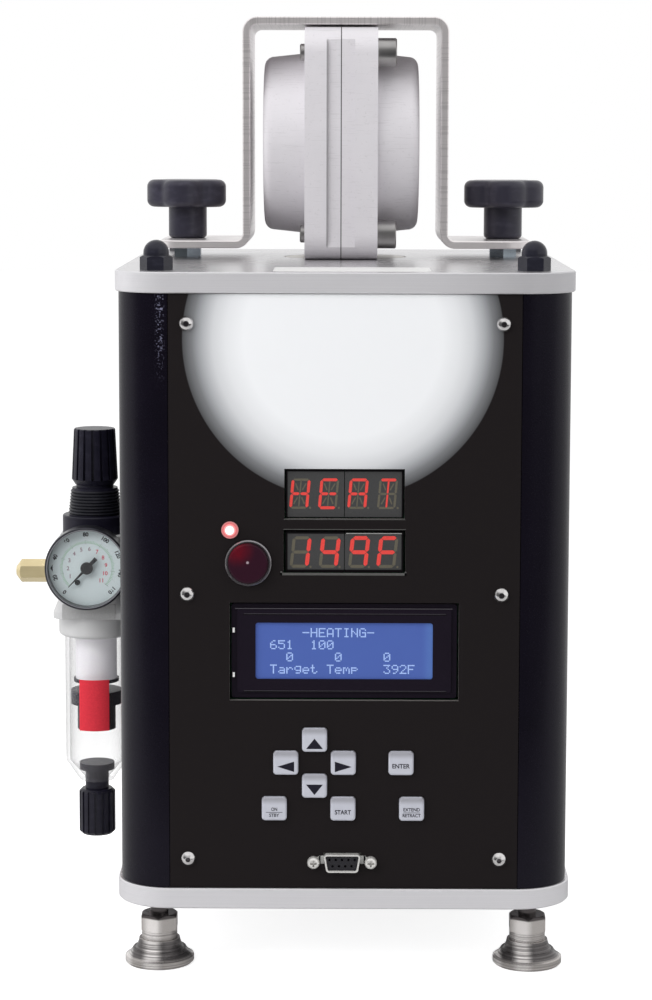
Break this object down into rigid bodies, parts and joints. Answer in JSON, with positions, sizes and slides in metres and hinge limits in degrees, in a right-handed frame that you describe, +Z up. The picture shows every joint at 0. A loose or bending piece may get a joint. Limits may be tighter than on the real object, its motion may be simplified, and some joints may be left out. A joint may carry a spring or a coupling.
{
  "type": "denture injection molding machine",
  "caption": "Benchtop machine that melts a denture resin cartridge in a heated barrel and presses it with an air-driven ram into a flask held under a bent clamp.",
  "frame": {"origin": "on the axis of the injection bore, in the upper face of the top plate", "axes": "+Z up along the bore, -Y the front with the panel, -X the side of the regulator"},
  "size_m": [0.2628, 0.2461, 0.4204],
  "materials": {
    "plate": "brushed and clear anodised, edges turned bright",
    "powder_coat": "satin black, fine grain",
    "black_oxide": "blackened steel, oiled",
    "zinc_steel": "zinc plated, turned",
    "strap_steel": "hot-rolled bar, ground and lacquered",
    "stud_steel": "blue-grey passivated",
    "knob_plastic": "moulded phenolic, fine satin",
    "brass": "turned",
    "flask_metal": "sand cast, faces milled",
    "display_red": "dark red face with lit segments",
    "lcd": "black frame, blue glass with pale characters",
    "led": "lit red lens",
    "pilot_red": "dark red moulded lens",
    "pilot_ring": "bright plated ring",
    "key_plastic": "pale silver keys with dark legends",
    "socket_metal": "tinned shell, nickel posts",
    "circuit_board": "green solder mask",
    "regulator_cast": "die cast, pale grey paint",
    "regulator_plastic": "black nylon",
    "gauge_black": "black steel case with pale dial",
    "gauge_glass": "clear window",
    "pointer": "black",
    "bowl_plastic": "clear moulded polycarbonate",
    "element": "white sintered element",
    "barrel_steel": "turned, heat tinted",
    "heater_steel": "stainless band, heat tinted",
    "ram_steel": "hard chromed",
    "cylinder_metal": "anodised",
    "valve": "black coil on a grey block",
    "inlet_plastic": "black moulding with nickel blades",
    "rocker": "black rocker with white marks"
  },
  "bodies": {
    "machine": {"base_plate": "plate", "top_plate": "plate", "body_shell": "powder_coat", "front_panel": "powder_coat", "tie_rods": "zinc_steel", "cap_nuts": "black_oxide", "panel_screws": "zinc_steel", "clamp_studs": "stud_steel", "clamp_bracket": "strap_steel", "upper_display": "display_red", "lower_display": "display_red", "lcd_module": "lcd", "status_led": "led", "pilot_lens": "pilot_red", "pilot_bezel": "pilot_ring", "control_board": "circuit_board", "serial_connector": "socket_metal", "regulator_body": "regulator_cast", "regulator_bonnet": "regulator_plastic", "gauge_case": "gauge_black", "gauge_lens": "gauge_glass", "filter_bowl": "bowl_plastic", "filter_element": "element", "filter_baffle": "regulator_plastic", "air_inlet_fitting": "brass", "outlet_nipple": "brass", "heater_barrel": "barrel_steel", "band_heater": "heater_steel", "air_cylinder": "cylinder_metal", "solenoid_valve": "valve", "power_inlet": "inlet_plastic"},
    "flask": {"flask_left_half": "flask_metal", "flask_right_half": "flask_metal", "flask_screws": "zinc_steel"},
    "left_insert": {"left_knob_insert": "brass"},
    "left_knob": {"left_clamp_knob": "knob_plastic"},
    "right_insert": {"right_knob_insert": "brass"},
    "right_knob": {"right_clamp_knob": "knob_plastic"},
    "front_left_base": {"front_left_foot_base": "zinc_steel"},
    "front_left_stud": {"front_left_foot_stud": "zinc_steel"},
    "front_right_base": {"front_right_foot_base": "zinc_steel"},
    "front_right_stud": {"front_right_foot_stud": "zinc_steel"},
    "rear_left_base": {"rear_left_foot_base": "zinc_steel"},
    "rear_left_stud": {"rear_left_foot_stud": "zinc_steel"},
    "rear_right_base": {"rear_right_foot_base": "zinc_steel"},
    "rear_right_stud": {"rear_right_foot_stud": "zinc_steel"},
    "up_button": {"up_key": "key_plastic"},
    "down_button": {"down_key": "key_plastic"},
    "left_button": {"left_key": "key_plastic"},
    "right_button": {"right_key": "key_plastic"},
    "enter_button": {"enter_key": "key_plastic"},
    "standby_button": {"standby_key": "key_plastic"},
    "start_button": {"start_key": "key_plastic"},
    "extend_button": {"extend_key": "key_plastic"},
    "ram": {"ram": "ram_steel"},
    "stem": {"adjusting_stem": "zinc_steel"},
    "pull_knob": {"regulator_knob": "regulator_plastic"},
    "pointer": {"gauge_needle": "pointer"},
    "drain": {"drain_knob": "regulator_plastic"},
    "rocker": {"rocker_switch": "rocker"}
  },
  "joints": [
    {"name": "flask_slide", "type": "slide", "parent": "machine", "child": "flask", "axis": [0, -1, 0], "range_m": [0, 0.11]},
    {"name": "left_knob_lift", "type": "slide", "parent": "machine", "child": "left_insert", "axis": [0, 0, 1], "range_m": [0, 0.01]},
    {"name": "left_knob_turn", "type": "hinge", "parent": "left_insert", "child": "left_knob", "pos_m": [-0.0758, 0, 0.0088], "axis": [0, 0, 1], "range_deg": [0, 2880]},
    {"name": "right_knob_lift", "type": "slide", "parent": "machine", "child": "right_insert", "axis": [0, 0, 1], "range_m": [0, 0.01]},
    {"name": "right_knob_turn", "type": "hinge", "parent": "right_insert", "child": "right_knob", "pos_m": [0.0758, 0, 0.0088], "axis": [0, 0, 1], "range_deg": [0, 2880]},
    {"name": "front_left_foot_rise", "type": "slide", "parent": "machine", "child": "front_left_base", "axis": [0, 0, 1], "range_m": [-0.01, 0.006]},
    {"name": "front_left_foot_turn", "type": "hinge", "parent": "front_left_base", "child": "front_left_stud", "pos_m": [-0.08175, -0.135, -0.29], "axis": [0, 0, 1], "range_deg": [-2880, 1728]},
    {"name": "front_right_foot_rise", "type": "slide", "parent": "machine", "child": "front_right_base", "axis": [0, 0, 1], "range_m": [-0.01, 0.006]},
    {"name": "front_right_foot_turn", "type": "hinge", "parent": "front_right_base", "child": "front_right_stud", "pos_m": [0.08175, -0.135, -0.29], "axis": [0, 0, 1], "range_deg": [-2880, 1728]},
    {"name": "rear_left_foot_rise", "type": "slide", "parent": "machine", "child": "rear_left_base", "axis": [0, 0, 1], "range_m": [-0.01, 0.006]},
    {"name": "rear_left_foot_turn", "type": "hinge", "parent": "rear_left_base", "child": "rear_left_stud", "pos_m": [-0.08175, 0.065, -0.29], "axis": [0, 0, 1], "range_deg": [-2880, 1728]},
    {"name": "rear_right_foot_rise", "type": "slide", "parent": "machine", "child": "rear_right_base", "axis": [0, 0, 1], "range_m": [-0.01, 0.006]},
    {"name": "rear_right_foot_turn", "type": "hinge", "parent": "rear_right_base", "child": "rear_right_stud", "pos_m": [0.08175, 0.065, -0.29], "axis": [0, 0, 1], "range_deg": [-2880, 1728]},
    {"name": "up_press", "type": "slide", "parent": "machine", "child": "up_button", "axis": [0, 1, 0], "range_m": [0, 0.0008], "stiffness_N_per_m": 500, "springref_m": -0.001},
    {"name": "down_press", "type": "slide", "parent": "machine", "child": "down_button", "axis": [0, 1, 0], "range_m": [0, 0.0008], "stiffness_N_per_m": 500, "springref_m": -0.001},
    {"name": "left_press", "type": "slide", "parent": "machine", "child": "left_button", "axis": [0, 1, 0], "range_m": [0, 0.0008], "stiffness_N_per_m": 500, "springref_m": -0.001},
    {"name": "right_press", "type": "slide", "parent": "machine", "child": "right_button", "axis": [0, 1, 0], "range_m": [0, 0.0008], "stiffness_N_per_m": 500, "springref_m": -0.001},
    {"name": "enter_press", "type": "slide", "parent": "machine", "child": "enter_button", "axis": [0, 1, 0], "range_m": [0, 0.0008], "stiffness_N_per_m": 500, "springref_m": -0.001},
    {"name": "standby_press", "type": "slide", "parent": "machine", "child": "standby_button", "axis": [0, 1, 0], "range_m": [0, 0.0008], "stiffness_N_per_m": 500, "springref_m": -0.001},
    {"name": "start_press", "type": "slide", "parent": "machine", "child": "start_button", "axis": [0, 1, 0], "range_m": [0, 0.0008], "stiffness_N_per_m": 500, "springref_m": -0.001},
    {"name": "extend_press", "type": "slide", "parent": "machine", "child": "extend_button", "axis": [0, 1, 0], "range_m": [0, 0.0008], "stiffness_N_per_m": 500, "springref_m": -0.001},
    {"name": "ram_stroke", "type": "slide", "parent": "machine", "child": "ram", "axis": [0, 0, 1], "range_m": [0, 0.085]},
    {"name": "stem_turn", "type": "hinge", "parent": "machine", "child": "stem", "pos_m": [-0.1236, 0.022, 0], "axis": [0, 0, 1], "range_deg": [0, 1800]},
    {"name": "knob_pull", "type": "slide", "parent": "stem", "child": "pull_knob", "axis": [0, 0, 1], "range_m": [0, 0.003]},
    {"name": "pointer_swing", "type": "hinge", "parent": "machine", "child": "pointer", "pos_m": [-0.1253, 0, -0.1515], "axis": [0, 1, 0], "range_deg": [0, 270], "stiffness_Nm_per_rad": 0.0002, "springref_deg": -17.19},
    {"name": "drain_turn", "type": "hinge", "parent": "machine", "child": "drain", "pos_m": [-0.1236, 0.022, -0.28], "axis": [0, 0, 1], "range_deg": [0, 180]},
    {"name": "rocker_tip", "type": "hinge", "parent": "machine", "child": "rocker", "pos_m": [0.048, 0.0836, -0.212], "axis": [1, 0, 0], "range_deg": [0, 9]}
  ],
  "couplings": [
    {"joint": "left_knob_turn", "follows": "left_knob_lift", "rad_per_m": 5026.5},
    {"joint": "right_knob_turn", "follows": "right_knob_lift", "rad_per_m": 5026.5},
    {"joint": "front_left_foot_turn", "follows": "front_left_foot_rise", "rad_per_m": 5026.5},
    {"joint": "front_right_foot_turn", "follows": "front_right_foot_rise", "rad_per_m": 5026.5},
    {"joint": "rear_left_foot_turn", "follows": "rear_left_foot_rise", "rad_per_m": 5026.5},
    {"joint": "rear_right_foot_turn", "follows": "rear_right_foot_rise", "rad_per_m": 5026.5}
  ]
}
